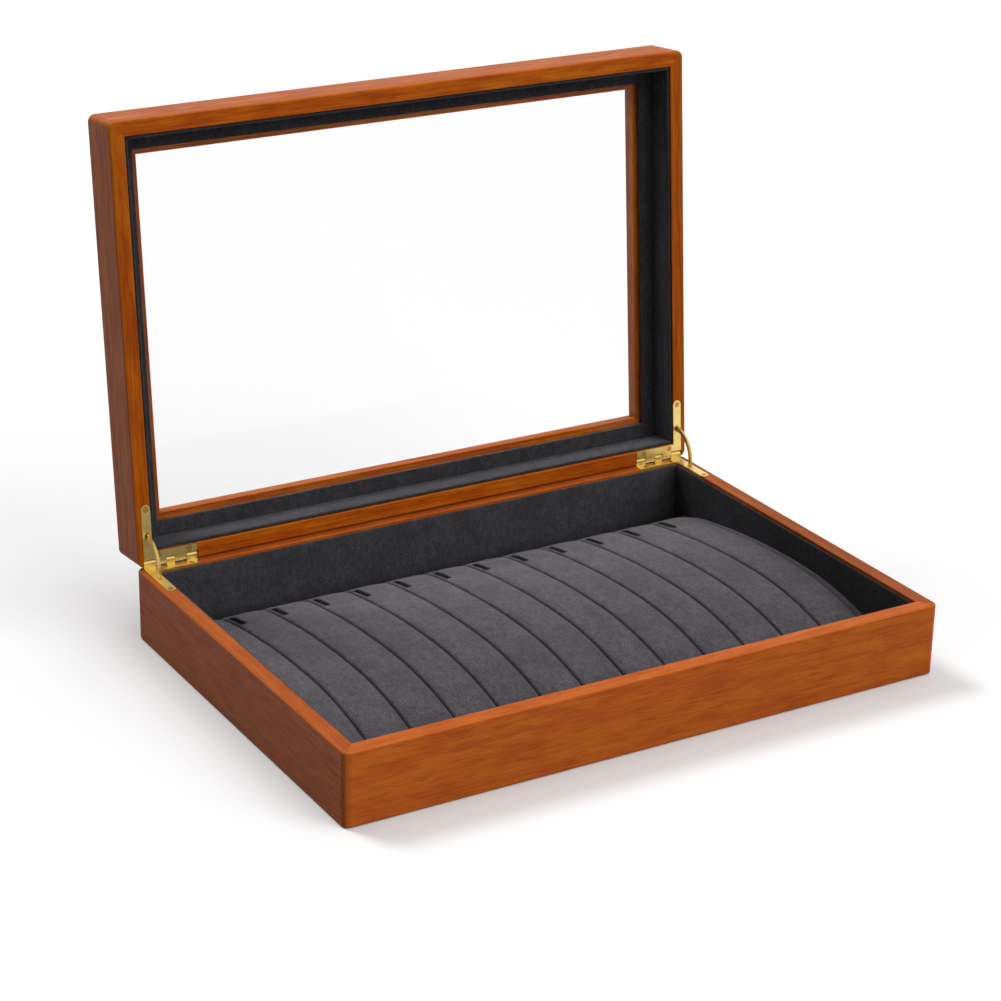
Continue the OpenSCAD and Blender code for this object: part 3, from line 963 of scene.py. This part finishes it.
    def _dip(self, x: float, y: float) -> float:
        """Finds how far the stitched grooves, slot rims and hems pull the suede down.

        Args:
            x: The place along x.
            y: The place along y.

        Returns:
            The depth.
        """
        gap = self._groove_gap(x)
        far = ramp(y, *self.groove_growth_y)
        wider, deeper = (1 + share * far for share in self.groove_growth)
        dip = bell(gap, self.groove_depth * deeper, self.groove_half * wider)
        dip += bell(gap, *self.seam_pull)
        rim = self._slot_gap(x, y)
        if rim < self.rim_reach:
            rim = max(rim, 0.0)
            dip += bell(rim, *self.rim_pull)
            dip -= bell(rim - self.rim_roll_at, *self.rim_roll)
        dip += sum(bell(self.half_width - abs(x), *pull) for pull in self.hem_pulls)
        last = self.grooves()[-1]
        if x > last:
            begins, deep, rises, ends = self.hollow_y
            sunk = ramp(y, begins, deep) * (1 - ramp(y, rises, ends))
            dip += self.strip_drop * ramp(x, last, last + self.strip_step)
            dip += self.hollow * sunk * ramp(x, last + 1, self.half_width)
        return dip

    def _painted_shade_share(self, x: float, y: float) -> float:
        """How much painted shade darkens the surface where it is hidden from the light, from 0 to
        1.
        """
        groove = sum(bell(self._groove_gap(x), *shade) for shade in self.seam_shades)
        return max(groove, bell(max(self._slot_gap(x, y), 0.0), *self.rim_shade))

    def _swell(self, xs: list[float], ys: list[float]) -> list[list[float]]:
        """Finds how far the wadding lifts the suede between its grooves.

        A sheet a little larger than the pad is pinned along the grooves and left to hang, and
        its sag, turned upwards, is the lift.

        Args:
            xs: Mesh lines along x.
            ys: Mesh lines along y.

        Returns:
            The lift in millimetres, one row for each mesh line along y.
        """
        across, deep = self.cells
        seams = [-self.half_width, *self.grooves(), self.half_width]
        fine = [
            a + (b - a) * i / across
            for a, b in zip(seams, seams[1:], strict=False)
            for i in range(across)
        ] + [self.half_width]
        length = self._back_y() - self.foot_y
        rows = [self.foot_y + length * j / deep for j in range(deep + 1)]
        sag = self._hang(fine, rows)
        strips = zip(*([between(fine, row, x) for x in xs] for row in sag), strict=True)
        lifts = ([self.plump * between(rows, strip, y) for y in ys] for strip in strips)
        return [list(row) for row in zip(*lifts, strict=True)]

    def _hang(self, xs: list[float], ys: list[float]) -> list[list[float]]:
        """Hangs the pinned sheet.

        Args:
            xs: The sheet's lines along x, some of which are grooves.
            ys: Its lines along y.

        Returns:
            Its sag, from 0 to 1, one row for each line along y.
        """
        shape = bpy.data.meshes.new("trial_sheet")
        wide, deep = len(xs), len(ys)
        points = [(x * MM, y * MM, 0.0) for y in ys for x in xs]
        shape.from_pydata(points, [], list(grid(wide, deep).values()))
        sheet = add_object("trial_sheet", shape)
        held = [
            j * wide + i
            for j in range(deep)
            for i in range(wide)
            if i % self.cells[0] == 0
            or j in (0, deep - 1)
            or i == wide - 1
            or self._slot_gap(xs[i], ys[j]) < self.slot_hold
        ]
        sheet.vertex_groups.new(name="seams").add(held, 1.0, "REPLACE")
        cloth = sheet.modifiers.new("hang", "CLOTH")
        for name, value in TRIAL_CLOTH.items():
            setattr(cloth.settings, name, value)
        cloth.collision_settings.use_collision = False
        cloth.point_cache.frame_end = self.frames
        for step in range(1, self.frames + 1):
            bpy.context.scene.frame_set(step)
        seen = sheet.evaluated_get(bpy.context.evaluated_depsgraph_get())
        drop = [-v.co.z for v in seen.data.vertices]
        bpy.context.scene.frame_set(1)
        bpy.data.objects.remove(sheet)
        top = sorted(drop)[int(len(drop) * self.full_sag)]
        LOG.info("pad: sheet sags %.2f mm", top / MM)
        shares = [min(1.0, max(0.0, d / top)) for d in drop]
        return [shares[j * wide : (j + 1) * wide] for j in range(deep)]

    def _shell(self, xs: list[float], ys: list[float], swell: list[list[float]]) -> Piece:
        """Makes the closed cover, with its slots cut through.

        Args:
            xs: Mesh lines along x.
            ys: Mesh lines along y.
            swell: The wadding's lift, one row for each mesh line along y.

        Returns:
            The cover.
        """
        wide, deep = len(xs), len(ys)
        count = wide * deep
        top: list[Vector] = []
        under: list[Vector] = []
        for j, y in enumerate(ys):
            for i, x in enumerate(xs):
                plain = self._arc(y)
                spot = Vector((x / self.uneven_size[0], y / self.uneven_size[1], 3.1))
                z = plain + swell[j][i] - self._dip(x, y) + self.uneven * noise.noise(spot)
                floor = max(plain - self.cover, self.bed)
                px, py = self._rounded(x, y)
                top.append(Vector((px, py, max(z, floor + self.thinnest))) * MM)
                under.append(Vector((px, py, floor)) * MM)
        cells = {
            (i, j): face
            for (i, j), face in grid(wide, deep).items()
            if not self._in_slot((xs[i] + xs[i + 1]) / 2, (ys[j] + ys[j + 1]) / 2)
        }
        faces = []
        for a, b, c, d in cells.values():
            faces += [(a, b, c, d), (a + count, d + count, c + count, b + count)]
        # walls go down wherever a cell has no neighbour: round the pad and round its slots
        for (i, j), (a, b, c, d) in cells.items():
            for side, p, q in (
                ((i, j - 1), a, b),
                ((i + 1, j), b, c),
                ((i, j + 1), c, d),
                ((i - 1, j), d, a),
            ):
                if side not in cells:
                    faces.append((q, p, p + count, q + count))
        shape = bpy.data.meshes.new("suede_pad")
        shape.from_pydata(top + under, [], faces)
        # painted shade: darker in the grooves and at the slots' rims, fully dark on the underside
        # and on the walls round the pad and its slots
        shade = [self._painted_shade_share(x, y) for y in ys for x in xs] + [1.0] * count
        shape.attributes.new("painted_crease_shade", "FLOAT", "POINT").data.foreach_set("value", shade)
        shape.validate()
        cover = add_object("suede_pad", shape)
        select_only(cover)
        bpy.ops.object.mode_set(mode="EDIT")
        bpy.ops.mesh.select_all(action="SELECT")
        bpy.ops.mesh.delete_loose()
        face_outwards()
        bpy.ops.object.mode_set(mode="OBJECT")
        return cover

    def _in_slot(self, x: float, y: float) -> bool:
        """Whether a cell's middle lies in a slot's opening."""
        across, deep = self.slot_half
        return abs(x - self._nearest_slot(x)) < across and abs(y - self.slot_y) < deep

    def _rounded(self, x: float, y: float) -> Pair:
        """Pulls the square corners of a slot's opening in to its corner radius.

        Args:
            x: The place along x.
            y: The place along y.

        Returns:
            The place, moved where it is such a corner.
        """
        dx, dy = x - self._nearest_slot(x), y - self.slot_y
        off = (abs(abs(d) - half) for d, half in zip((dx, dy), self.slot_half, strict=True))
        if max(off) >= SAME:
            return x, y
        pull = self.slot_r * (1 - math.sqrt(0.5))
        return x - math.copysign(pull, dx), y - math.copysign(pull, dy)


@dataclass
class GlassLid(RailedFrame):
    """The lid: four mitred rails, the glass, its border and the linings."""

    body: str = "lid"
    axis: Triple = (0.0, 0.118, 0.0428)
    open_angle: float = 95.0
    wood: StainedRubberwood = StainedRubberwood(
        stain="#B6560A", streak="#7C3204", cloud="#8C300A", band="#CC7812", figure=0.85
    )
    runs: tuple[GrainRun, GrainRun] = (GrainRun.LID_ACROSS, GrainRun.LID_DEEP)
    tones_and_shades: Row = (0.88, 0.8, 0.76, 0.75)
    shifts: Pair = (300.0, 47.0)
    # painted shade: the lid's linings and window border take a darker copy of the pad's suede, for
    # the shade they stand in
    suede: MicrofibreSuede = MicrofibreSuede(
        "suede_lid_walls_shaded", 19.0, "#252427", "#444245", "#1E1D1F"
    )
    border_edge: float = 0.7 * MM
    border_cuts: int = 40
    slack: float = 0.01 * MM

    def shutting(self) -> Matrix:
        """Turns the open lid about its hinge axis to where it lies when shut."""
        swing = Matrix.Rotation(math.radians(self.open_angle), 4, "X")
        return Matrix.Translation(self.axis) @ swing @ Matrix.Translation(-Vector(self.axis))

    def build(self) -> list[Piece]:
        """Dresses the rails and the glass and models the border and the linings.

        Returns:
            The modelled pieces.
        """
        self.dress_rails()
        dress("glass_pane", FloatGlass("float_glass").material())
        suede = self.suede.material()
        turn = self.shutting()
        made = [
            CoveredBoard(
                f"suede_lid_{side}", f"lid_lining_{side}", self.body, turn=turn, free_side=-1
            ).build(suede)
            for side in SIDES
        ]
        return [*made, self._border(suede, turn)]

    def _border(self, suede: Material, turn: Matrix) -> Piece:
        """Models the suede-covered frame that holds the glass.

        Args:
            suede: The frame's cover.
            turn: Squares up the open lid.

        Returns:
            The finished piece, riding on the lid.
        """
        low, high = box_of("glass_border", turn)
        middle = (low.y + high.y) / 2
        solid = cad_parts["glass_border"].data
        inner = min(abs((turn @ v.co).x) for v in solid.vertices)
        clear_selection()
        bpy.ops.mesh.primitive_plane_add(size=1, location=(0, middle, low.z))
        border = bpy.context.object
        border.name = "suede_window_border"
        border.scale = (high.x - low.x, high.y - low.y, 1)
        bpy.ops.object.transform_apply()
        bpy.ops.object.mode_set(mode="EDIT")
        bpy.ops.mesh.select_mode(type="FACE")
        bpy.ops.mesh.select_all(action="SELECT")
        bpy.ops.mesh.inset(thickness=high.x - inner, depth=0)
        bpy.ops.mesh.delete(type="FACE")
        bpy.ops.mesh.select_all(action="SELECT")
        rise = {"value": (0, 0, high.z - low.z)}
        bpy.ops.mesh.extrude_region_move(TRANSFORM_OT_translate=rise)
        face_outwards()
        for axis in (0, 1):
            pick_edges(along(axis))
            bpy.ops.mesh.subdivide(number_cuts=self.border_cuts)
        reach_x = inner + self.slack
        reach_y = (high.y - low.y) / 2 - (high.x - inner) + self.slack

        def round_window(a: Vector, b: Vector) -> bool:
            """Says whether an edge goes round the window, on either face."""
            near = abs(a.z - b.z) < SAME and max(abs(a.x), abs(b.x)) < reach_x
            return near and max(abs(a.y - middle), abs(b.y - middle)) < reach_y

        pick_edges(round_window)
        bpy.ops.mesh.bevel(offset=self.border_edge, segments=3)
        bpy.ops.object.mode_set(mode="OBJECT")
        border.data.transform(turn.inverted())
        border.data.materials.append(suede)
        smooth(border, degrees=50)
        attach(border, self.body)
        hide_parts("glass_border")
        return border


@dataclass
class BoxHinges:
    """The two quadrant hinges: bright leaves and pins, worn stays and duller screws."""

    leaves: tuple[str, ...] = ("hinge_base_leaf", "hinge_lid_leaf", "hinge_pin")
    polished: LacqueredBrass = LacqueredBrass("polished_brass", 5.0)
    stamped: LacqueredBrass = LacqueredBrass("stamped_brass", 9.0, "#DDBB66", "#A98436", high=0.4)
    turned: LacqueredBrass = LacqueredBrass("turned_brass", 13.0, "#D6AE5C", "#8E6828", 0.32, 0.42)

    def dress(self) -> None:
        """Gives the hinges their brass."""
        leaves = [f"{leaf}_{side}" for leaf in self.leaves for side in ("left", "right")]
        for brass, nodes in (
            (self.polished, leaves),
            (self.stamped, ("stay_left", "stay_right")),
            (self.turned, ("base_hinge_screws", "lid_hinge_screws")),
        ):
            material = brass.material()
            for node in nodes:
                dress(node, material)


@dataclass
class Studio:
    """A pale floor, soft lamps, a white background and the camera."""

    camera_at: Triple = (-0.69219, -1.117, 0.6351)
    camera_turn: Triple = (68.019, -0.761, -29.922)
    lens: float = 98.18
    film: float = 36.0
    shift: Pair = (0.033, -0.0294)
    farthest: float = 60.0
    floor_size: float = 9.0
    floor_drop: float = 0.2 * MM
    # the floor's colour as it is looked at, and as it throws light back on the box
    floor_colour: str = "#E0E0E0"
    bounce_colour: str = "#808081"
    haze: float = 0.02
    # the room's light from the left and from the right
    ambient: Pair = (0.0, 0.46)
    mirrored: float = 0.85
    pane_depth: float = 2.5
    widest_mirrored: float = 40.0
    # each lamp's bearing, height, power and spread
    lamps: tuple[tuple[str, float, float, float, float], ...] = (
        ("back", -24.0, 51.0, 1.9, 20.0),
        ("overhead", 80.0, 80.0, 1.05, 60.0),
        ("front", 152.0, 30.0, 2.25, 60.0),
    )

    def build(self) -> None:
        """Makes the floor, the lamps, the background and the camera."""
        self._floor()
        self._world()
        for lamp in self.lamps:
            self._lamp(*lamp)
        self._camera()
        bpy.context.scene.view_settings.view_transform = "Standard"

    def _floor(self) -> None:
        """Lays a plain floor that stays white to the camera and keeps the box's shadow."""
        clear_selection()
        bpy.ops.mesh.primitive_plane_add(size=self.floor_size, location=(0, 0, -self.floor_drop))
        floor = bpy.context.object
        floor.name = "studio_floor"
        material, tree = fresh_material("studio_floor")
        dull = put(tree, "BsdfDiffuse", {"Color": paint(self.bounce_colour)})
        pale = put(tree, "BsdfDiffuse", {"Color": paint(self.floor_colour)})
        glow = put(tree, "Emission", {"Strength": self.haze})
        both = put(tree, "AddShader", {0: pale, 1: glow})
        mix = {0: self._looked_at(tree), 1: dull, 2: both}
        floor.data.materials.append(close(material, put(tree, "MixShader", mix)))

    def _looked_at(self, tree: Tree) -> Socket:
        """Tells what the camera sees from what only fills the scene with light.

        Args:
            tree: The node tree of the floor or the background.

        Returns:
            The value socket: 1 where the camera looks, less in blurred reflections, else 0.
        """
        path = put(tree, "LightPath").node.outputs
        near = put(tree, "Math", {0: path["Ray Depth"], 1: self.pane_depth}, operation="LESS_THAN")
        pane = {0: path["Is Transmission Ray"], 1: near}
        through = put(tree, "Math", pane, operation="MULTIPLY")
        seen = put(tree, "Math", {0: path["Is Camera Ray"], 1: through}, operation="MAXIMUM")
        mirror = {0: path["Is Glossy Ray"], 1: path["Is Singular Ray"]}
        blurred = put(tree, "Math", mirror, operation="SUBTRACT")
        gloss = {0: blurred, 1: self.mirrored}
        gloss = put(tree, "Math", gloss, operation="MULTIPLY", use_clamp=True)
        return put(tree, "Math", {0: seen, 1: gloss}, operation="MAXIMUM")

    def _world(self) -> None:
        """Sets the soft light of the room, and white where the background is seen."""
        world = bpy.data.worlds.new("studio")
        bpy.context.scene.world = world
        world.use_nodes = True
        tree = world.node_tree
        tree.nodes.clear()
        side = put(tree, "TexCoord", out="Generated")
        left, right = self.ambient
        span = {"Value": put(tree, "SeparateXYZ", {0: side}), "From Min": -1.0}
        room = put(tree, "MapRange", {**span, "To Min": left, "To Max": right})
        light = put(tree, "Mix", {0: self._looked_at(tree), 2: room, 3: 1.0})
        sky = put(tree, "Background", {"Color": paint("#FFFFFF"), "Strength": light})
        put(tree, "OutputWorld", {"Surface": sky})

    def _lamp(self, name: str, bearing: float, height: float, power: float, spread: float) -> None:
        """Hangs one soft lamp.

        Args:
            name: The lamp's name.
            bearing: Where it hangs, in degrees from the back towards the right.
            height: Its height above the horizon in degrees.
            power: Its strength.
            spread: Its width as seen from the box, in degrees.
        """
        lamp = bpy.data.lights.new(name, "SUN")
        lamp.energy = power
        lamp.angle = math.radians(spread)
        stand = add_object(name, lamp)
        # a wide lamp mirrored in the pane would hide what lies under it
        stand.visible_glossy = spread < self.widest_mirrored
        stand.visible_transmission = False
        a, e = math.radians(bearing), math.radians(height)
        towards = Vector((math.sin(a) * math.cos(e), math.cos(a) * math.cos(e), math.sin(e)))
        stand.rotation_mode = "QUATERNION"
        stand.rotation_quaternion = towards.to_track_quat("Z", "Y")

    def _camera(self) -> None:
        """Sets up the camera."""
        view = bpy.data.cameras.new("camera")
        view.lens = self.lens
        view.sensor_width = self.film
        view.shift_x, view.shift_y = self.shift
        view.clip_end = self.farthest
        stand = add_object("camera", view)
        stand.location = self.camera_at
        stand.rotation_euler = [math.radians(a) for a in self.camera_turn]
        bpy.context.scene.camera = stand


def main() -> None:
    """Builds the studio and each sub-assembly in order."""
    logging.basicConfig(level=logging.INFO, format="%(name)s: %(message)s")
    Studio().build()
    made = [*Carcass().build(), SuedePad().build(), *GlassLid().build()]
    BoxHinges().dress()
    for piece in made:
        LOG.info("%s: %d faces", piece.name, len(piece.data.polygons))


if __name__ == "__main__":
    main()
